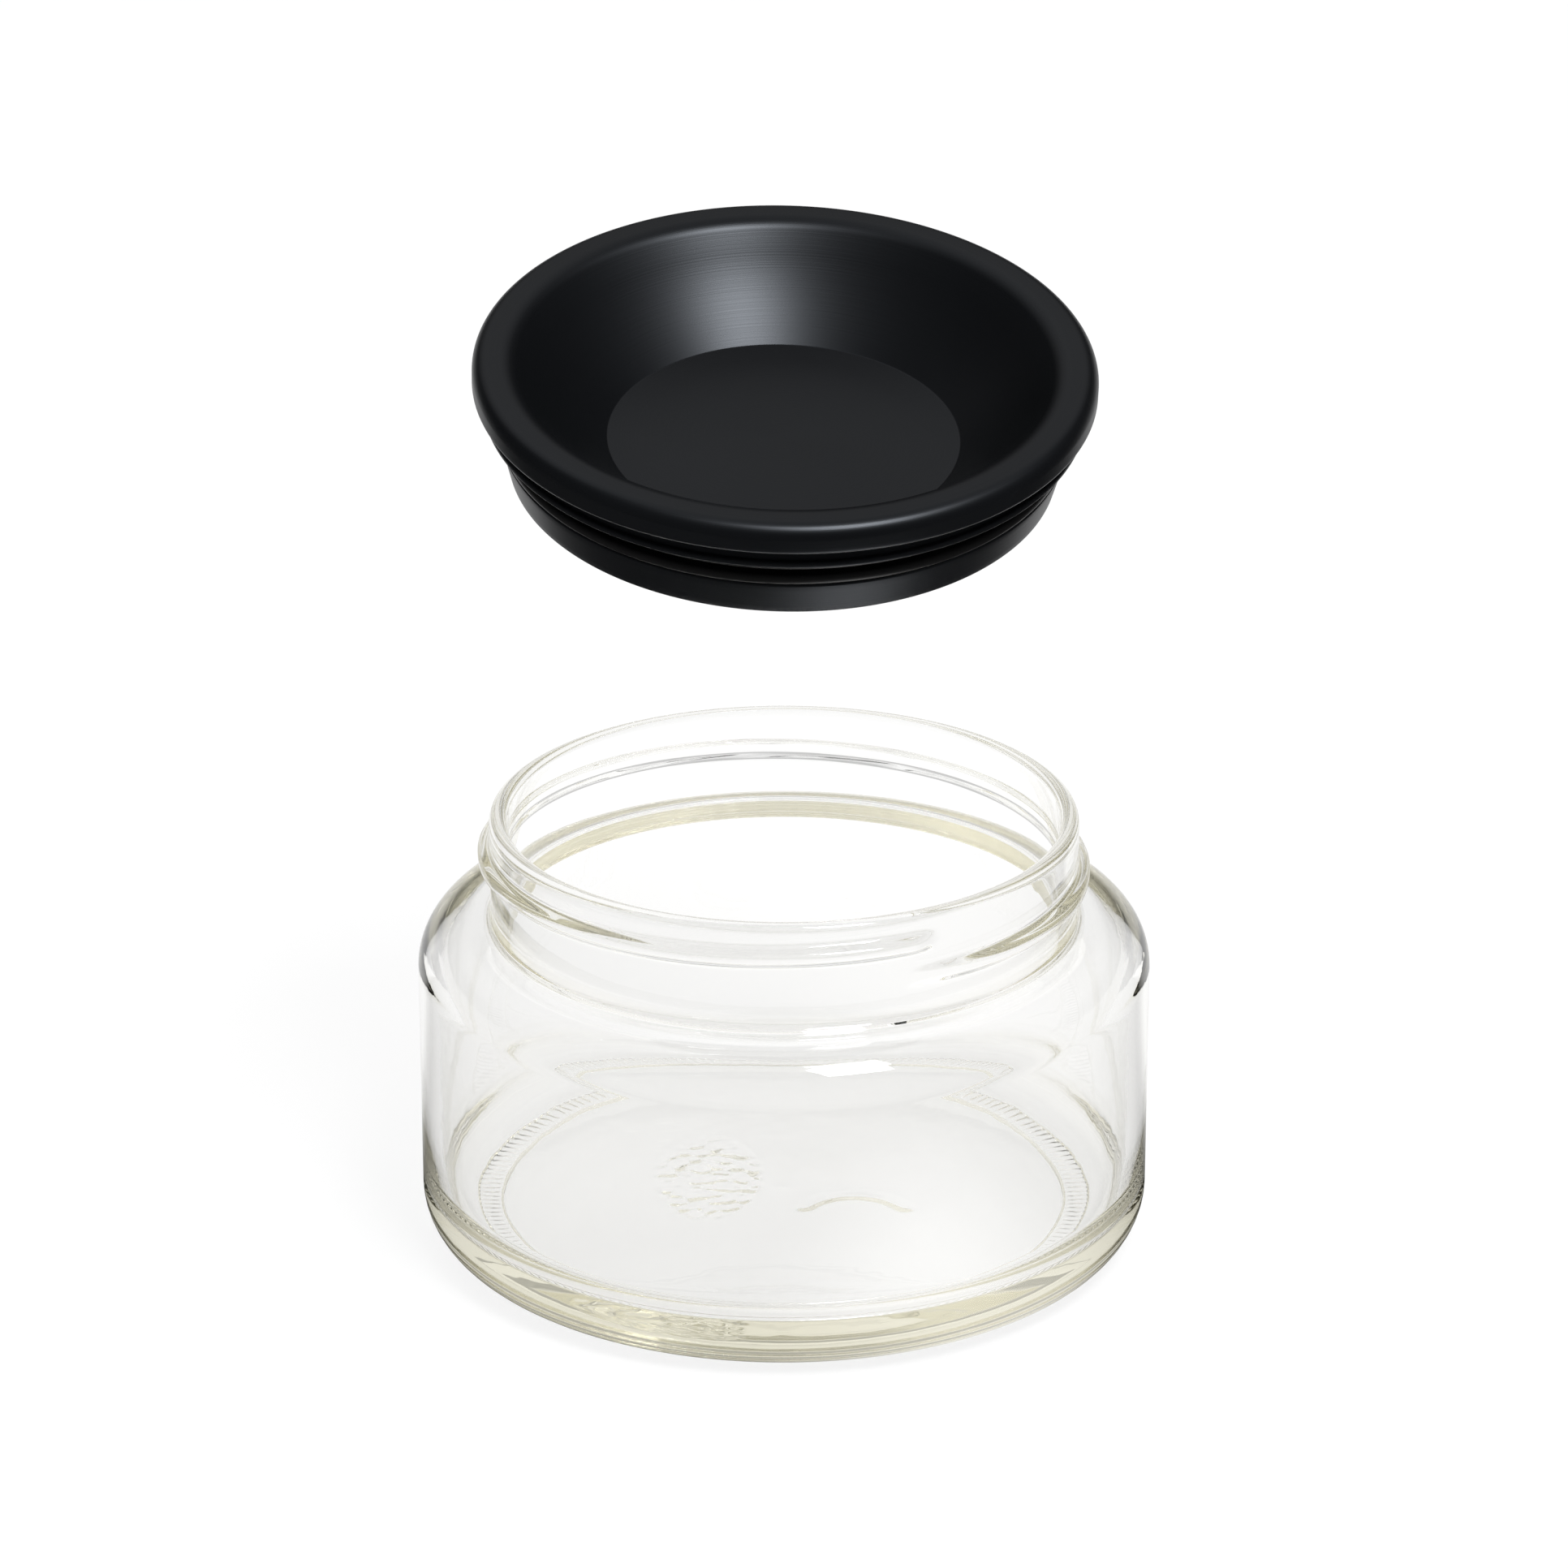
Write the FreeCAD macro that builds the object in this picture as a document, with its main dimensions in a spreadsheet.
import FreeCAD, Part
import math
import os
import Sketcher

# Wide-mouth glass specimen jar with a turned dish lid that plugs the mouth on two ring seals.
# Millimetres.  +Z is up, and the origin is the middle of the ring that the jar stands on.
# The lid is stored lifted off: it hangs over the mouth, tipped a little towards -Y.

DIMENSIONS = {
    # glass jar, outside
    "body_radius": 45.0,
    "jar_height": 54.85,
    "heel_radius": 6.5,
    "shoulder_top": 41.5,
    "shoulder_radius": 6.3,
    "neck_radius": 36.0,
    "neck_root_radius": 0.9,
    # glass jar, inside
    "bore_radius": 33.8,
    "wall_thickness": 2.5,
    "base_thickness": 5.8,
    "shoulder_thickness": 1.6,
    "inner_heel_radius": 5.0,
    "inner_shoulder_radius": 4.5,
    "bore_edge_radius": 0.5,
    # ring that the jar stands on, and the hollow inside it
    "stand_ring_inner_radius": 35.2,
    "stand_ring_height": 0.7,
    "push_up_height": 1.5,
    # single-start thread outside the neck
    "thread_radius": 37.4,
    "thread_root_width": 2.9,
    "thread_crest_width": 1.1,
    "thread_bedding": 0.5,
    "thread_pitch": 4.4,
    "thread_turns": 1.03,
    "thread_start_height": 46.8,
    "thread_start_angle": -70.0,
    # dish lid
    "rim_radius": 36.65,
    "rim_height": 3.6,
    "rim_edge_radius": 0.9,
    "dish_mouth_radius": 32.2,
    "dish_edge_radius": 3.5,
    "dish_floor_radius": 20.8,
    "dish_depth": 10.9,
    "dish_thickness": 1.8,
    "dish_underside_height": 10.0,
    "waist_radius": 34.6,
    "collar_radius": 35.4,
    "collar_thickness": 0.7,
    "collar_seat_height": 8.0,
    "plug_depth": 10.5,
    "plug_radius": 33.4,
    "plug_lead": 1.1,
    "plug_wall": 2.9,
    "core_radius": 32.0,
    "band_height": 4.4,
    "land_height": 0.8,
    # ring seals, seated in grooves of the plug
    "seal_radius": 33.5,
    "seal_inner_radius": 31.3,
    "seal_height": 1.2,
    "seal_lip_radius": 0.5,
    # lid over the mouth
    "seat_gap": 0.15,
    "lift_arm": 234.0,
    "lift_axis_height": 48.0,
    "lift_axis_yaw": 6.1,
    "lift_axis_slope": 0.85,
    "lid_tip": 13.6,
}


class Size:
    """A length: its value, and the expression that ties it to the sheet's cells."""

    def __init__(self, value, text):
        self.value = value
        self.text = text

    def __add__(self, other):
        other = as_size(other)
        return Size(self.value + other.value, f"({self.text} + {other.text})")

    def __sub__(self, other):
        other = as_size(other)
        return Size(self.value - other.value, f"({self.text} - {other.text})")

    def __mul__(self, number):
        return Size(self.value * number, f"({self.text} * {number})")


def as_size(length):
    if isinstance(length, Size):
        return length
    return Size(float(length), f"{float(length)}")


def size(alias):
    return Size(DIMENSIONS[alias], f"Dimensions.{alias}")


def fill_sheet(doc):
    sheet = doc.addObject("Spreadsheet::Sheet", "Dimensions")
    for row, (alias, value) in enumerate(DIMENSIONS.items(), start=1):
        sheet.set(f"A{row}", alias)
        sheet.set(f"B{row}", str(value))
        sheet.setAlias(f"B{row}", alias)
    doc.recompute()
    return sheet


def origin_plane(body, role):
    return next(f for f in body.Origin.OriginFeatures if f.Role == role)


def tie_point(sketch, geometry, position, name, x, z):
    """Fix a sketch point at (x, z), each measured from the sketch's origin."""
    for axis, kind, length in (("x", "DistanceX", x), ("z", "DistanceY", z)):
        if abs(length.value) < 1e-9:
            other_axis = -2 if axis == "x" else -1
            sketch.addConstraint(Sketcher.Constraint("PointOnObject", geometry, position, other_axis))
            continue
        constraint = Sketcher.Constraint(kind, -1, 1, geometry, position, length.value)
        index = sketch.addConstraint(constraint)
        sketch.renameConstraint(index, f"{name}_{axis}")
        sketch.setExpression(f"Constraints.{name}_{axis}", length.text)


def arc_between(start, end, radius, turn):
    """The short arc from start to end; turn is +1 when it bends to the left, -1 to the right."""
    chord = end - start
    sagitta_leg = math.sqrt(max(radius * radius - chord.Length * chord.Length / 4, 0.0))
    left = FreeCAD.Vector(-chord.y, chord.x, 0).normalize()
    centre = (start + end) * 0.5 + left * (sagitta_leg * turn)
    middle = centre + ((start + end) * 0.5 - centre).normalize() * radius
    return Part.Arc(start, middle, end)


def closed_profile(body, name, outline):
    """A closed sketch on the body's XZ plane.

    outline holds one (point name, x, z) for each straight stretch's end, or
    (point name, x, z, radius, turn) for the end of an arc.
    """
    sketch = body.newObject("Sketcher::SketchObject", name)
    sketch.AttachmentSupport = [(origin_plane(body, "XZ_Plane"), "")]
    sketch.MapMode = "FlatFace"
    points = [FreeCAD.Vector(step[1].value, step[2].value, 0) for step in outline]
    ends = []
    for index, step in enumerate(outline):
        start = points[index - 1]
        end = points[index]
        if len(step) == 3:
            sketch.addGeometry(Part.LineSegment(start, end), False)
            ends.append((1, 2))
            continue
        sketch.addGeometry(arc_between(start, end, step[3].value, step[4]), False)
        ends.append((2, 1) if step[4] < 0 else (1, 2))
    for index, step in enumerate(outline):
        following = (index + 1) % len(outline)
        joint = Sketcher.Constraint("Coincident", index, ends[index][1], following, ends[following][0])
        sketch.addConstraint(joint)
    for index, step in enumerate(outline):
        tie_point(sketch, index, ends[index][1], step[0], step[1], step[2])
        if len(step) == 5:
            constraint = sketch.addConstraint(Sketcher.Constraint("Radius", index, step[3].value))
            sketch.renameConstraint(constraint, f"{step[0]}_radius")
            sketch.setExpression(f"Constraints.{step[0]}_radius", step[3].text)
    return sketch


def new_body(doc, label):
    body = doc.addObject("PartDesign::Body", label)
    body.Label = label
    return body


def turned(body, name, outline):
    """A full turn of the outline about the body's Z axis."""
    sketch = closed_profile(body, f"{name}_outline", outline)
    revolution = body.newObject("PartDesign::Revolution", name)
    revolution.Profile = (sketch, [""])
    revolution.ReferenceAxis = (sketch, ["V_Axis"])
    revolution.Angle = 360.0
    sketch.Visibility = False
    return revolution


def jar_outline():
    """Half section of the blown glass, walked up the outside and down the inside."""
    zero = as_size(0)
    body_r = size("body_radius")
    heel = size("heel_radius")
    shoulder_r = size("shoulder_radius")
    top = size("shoulder_top")
    neck_r = size("neck_radius")
    root = size("neck_root_radius")
    bore_r = size("bore_radius")
    lip = (neck_r - bore_r) * 0.5
    lip_base = size("jar_height") - lip
    under = top - size("shoulder_thickness")
    edge = size("bore_edge_radius")
    inner_r = body_r - size("wall_thickness")
    inner_shoulder = size("inner_shoulder_radius")
    inner_heel = size("inner_heel_radius")
    floor = size("base_thickness")
    ring_r = size("stand_ring_inner_radius")
    return [
        ("push_up", zero, size("push_up_height")),
        ("ring_step", ring_r, size("stand_ring_height")),
        ("ring_inner", ring_r, zero),
        ("ring_outer", body_r - heel, zero),
        ("heel", body_r, heel, heel, 1),
        ("wall_top", body_r, top - shoulder_r),
        ("shoulder", body_r - shoulder_r, top, shoulder_r, 1),
        ("neck_foot", neck_r + root, top),
        ("neck_root", neck_r, top + root, root, -1),
        ("lip_outer", neck_r, lip_base),
        ("lip_crown", neck_r - lip, size("jar_height"), lip, 1),
        ("lip_inner", bore_r, lip_base, lip, 1),
        ("bore_low", bore_r, under + edge),
        ("bore_edge", bore_r + edge, under, edge, 1),
        ("under_shoulder", inner_r - inner_shoulder, under),
        ("inner_shoulder", inner_r, under - inner_shoulder, inner_shoulder, -1),
        ("inner_wall", inner_r, floor + inner_heel),
        ("inner_heel", inner_r - inner_heel, floor, inner_heel, -1),
        ("floor", zero, floor),
    ]


def thread_outline():
    """Section of the glass thread, bedded a little into the neck wall."""
    foot = size("neck_radius") - size("thread_bedding")
    crest = size("thread_radius")
    middle = size("thread_start_height")
    half_root = size("thread_root_width") * 0.5
    half_crest = size("thread_crest_width") * 0.5
    return [
        ("foot_low", foot, middle - half_root),
        ("crest_low", crest, middle - half_crest),
        ("crest_high", crest, middle + half_crest),
        ("foot_high", foot, middle + half_root),
    ]


def make_glass_jar(doc):
    jar = new_body(doc, "glass_jar")
    turned(jar, "jar_wall", jar_outline())
    doc.recompute()
    plain_volume = jar.Shape.Volume
    sketch = closed_profile(jar, "thread_outline", thread_outline())
    thread = jar.newObject("PartDesign::AdditiveHelix", "neck_thread")
    thread.Profile = (sketch, [""])
    thread.ReferenceAxis = (sketch, ["V_Axis"])
    thread.Mode = "pitch-turns-angle"
    thread.LeftHanded = False
    thread.Reversed = False
    thread.Angle = 0.0
    thread.setExpression("Pitch", size("thread_pitch").text)
    thread.setExpression("Turns", size("thread_turns").text)
    sketch.Visibility = False
    doc.recompute()
    if jar.Shape.Volume <= plain_volume:
        raise RuntimeError("the thread adds no glass")
    about_z = FreeCAD.Rotation(FreeCAD.Vector(0, 0, 1), DIMENSIONS["thread_start_angle"])
    jar.Placement = FreeCAD.Placement(FreeCAD.Vector(0, 0, 0), about_z)
    return jar


def seal_floors():
    """Heights of the two seal grooves' floors above the plug's bottom edge."""
    lower = size("band_height")
    upper = lower + size("seal_height") + size("land_height")
    return lower, upper


def lid_outline():
    """Half section of the lid, from the dish floor's middle round the outside and back underneath."""
    zero = as_size(0)
    rim_low = size("plug_depth")
    rim_r = size("rim_radius")
    edge = size("rim_edge_radius")
    rim_top = rim_low + size("rim_height")
    mouth_r = size("dish_mouth_radius")
    floor_r = size("dish_floor_radius")
    floor = rim_top - size("dish_depth")
    thickness = size("dish_thickness")
    waist_r = size("waist_radius")
    collar_r = size("collar_radius")
    collar_low = size("collar_seat_height")
    collar_high = collar_low + size("collar_thickness")
    core_r = size("core_radius")
    plug_r = size("plug_radius")
    groove_r = size("seal_inner_radius")
    skirt_r = plug_r - size("plug_wall")
    lower, upper = seal_floors()
    seal = size("seal_height")
    return [
        ("under_middle", zero, floor - thickness),
        ("under_floor", floor_r, floor - thickness),
        ("under_cone", skirt_r, size("dish_underside_height")),
        ("skirt_inner", skirt_r, zero),
        ("skirt_outer", plug_r - size("plug_lead"), zero),
        ("band_top", plug_r, lower),
        ("lower_groove_low", groove_r, lower),
        ("lower_groove_high", groove_r, lower + seal),
        ("land_low", core_r, lower + seal),
        ("land_high", core_r, upper),
        ("upper_groove_low", groove_r, upper),
        ("upper_groove_high", groove_r, upper + seal),
        ("core_low", core_r, upper + seal),
        ("core_high", core_r, collar_low),
        ("collar_low", collar_r, collar_low),
        ("collar_high", collar_r, collar_high),
        ("waist_low", waist_r, collar_high),
        ("waist_high", waist_r, rim_low),
        ("rim_under", rim_r - edge, rim_low),
        ("rim_low", rim_r, rim_low + edge, edge, 1),
        ("rim_high", rim_r, rim_top - edge),
        ("rim_top", rim_r - edge, rim_top, edge, 1),
        ("dish_mouth", mouth_r, rim_top),
        ("dish_floor", floor_r, floor),
        ("dish_middle", zero, floor),
    ]


def edge_at(shape, radius, height):
    """Name of the round edge about the Z axis with this radius and height."""
    for number, edge in enumerate(shape.Edges, start=1):
        if not isinstance(edge.Curve, Part.Circle):
            continue
        centre = edge.Curve.Center
        if abs(edge.Curve.Radius - radius) < 0.01 and abs(centre.z - height) < 0.01:
            return f"Edge{number}"
    raise RuntimeError(f"no round edge of radius {radius} at height {height}")


def make_lid_dish(doc):
    lid = new_body(doc, "lid_dish")
    turning = turned(lid, "lid_turning", lid_outline())
    doc.recompute()
    rim_top = size("plug_depth") + size("rim_height")
    mouth = edge_at(turning.Shape, DIMENSIONS["dish_mouth_radius"], rim_top.value)
    rounding = lid.newObject("PartDesign::Fillet", "dish_edge")
    rounding.Base = (turning, [mouth])
    rounding.setExpression("Radius", size("dish_edge_radius").text)
    return lid


def seal_outline(low):
    """Half section of a ring seal: a flat foot in the groove and a rounded lip outside."""
    inner = size("seal_inner_radius")
    outer = size("seal_radius")
    tall = size("seal_height")
    lip = size("seal_lip_radius")
    high = low + tall
    return [
        ("foot_low", inner, low),
        ("lip_start", outer - lip, low),
        ("lip_low", outer, low + lip, lip, 1),
        ("lip_high", outer, high - lip),
        ("lip_end", outer - lip, high, lip, 1),
        ("foot_high", inner, high),
    ]


def make_seal(doc, label, low):
    seal = new_body(doc, label)
    turned(seal, f"{label}_ring", seal_outline(low))
    return seal


def closed_place():
    """The lid seated: its collar just over the lip."""
    height = DIMENSIONS["jar_height"] + DIMENSIONS["seat_gap"] - DIMENSIONS["collar_seat_height"]
    return FreeCAD.Placement(FreeCAD.Vector(0, 0, height), FreeCAD.Rotation())


def lifted_place():
    """The lid swung up from its seat by lid_tip about the far axis that stands in for a hand."""
    yaw = math.radians(DIMENSIONS["lift_axis_yaw"])
    arm = DIMENSIONS["lift_arm"]
    slope = math.radians(DIMENSIONS["lift_axis_slope"])
    axis = FreeCAD.Vector(math.cos(yaw) * math.cos(slope), math.sin(yaw) * math.cos(slope), math.sin(slope))
    pivot = FreeCAD.Vector(arm * math.sin(yaw), -arm * math.cos(yaw), DIMENSIONS["lift_axis_height"])
    swing = FreeCAD.Placement(FreeCAD.Vector(0, 0, 0), FreeCAD.Rotation(axis, DIMENSIONS["lid_tip"]), pivot)
    return swing.multiply(closed_place())


def make_lid_set(doc):
    lower, upper = seal_floors()
    lid_set = [
        make_lid_dish(doc),
        make_seal(doc, "upper_seal", upper),
        make_seal(doc, "lower_seal", lower),
    ]
    doc.recompute()
    place = lifted_place()
    for piece in lid_set:
        piece.Placement = place
    return lid_set


def check_document(doc, pieces):
    for thing in doc.Objects:
        if "Invalid" in thing.State or "Error" in thing.State:
            raise RuntimeError(f"{thing.Name} failed: {thing.State}")
    for piece in pieces:
        shape = piece.Shape
        if shape.isNull() or not shape.isValid() or len(shape.Solids) != 1:
            raise RuntimeError(f"{piece.Label} is not one valid solid")


def write_steps(pieces):
    os.makedirs("parts", exist_ok=True)
    for piece in pieces:
        piece.Shape.exportStep(f"parts/{piece.Label}.step")
        box = piece.Shape.BoundBox
        print(f"{piece.Label}: {piece.Shape.Volume:.1f} mm3, z {box.ZMin:.2f} to {box.ZMax:.2f}")


document = FreeCAD.newDocument("specimen_jar")
fill_sheet(document)
subparts = [make_glass_jar(document)] + make_lid_set(document)
document.recompute()
check_document(document, subparts)
write_steps(subparts)
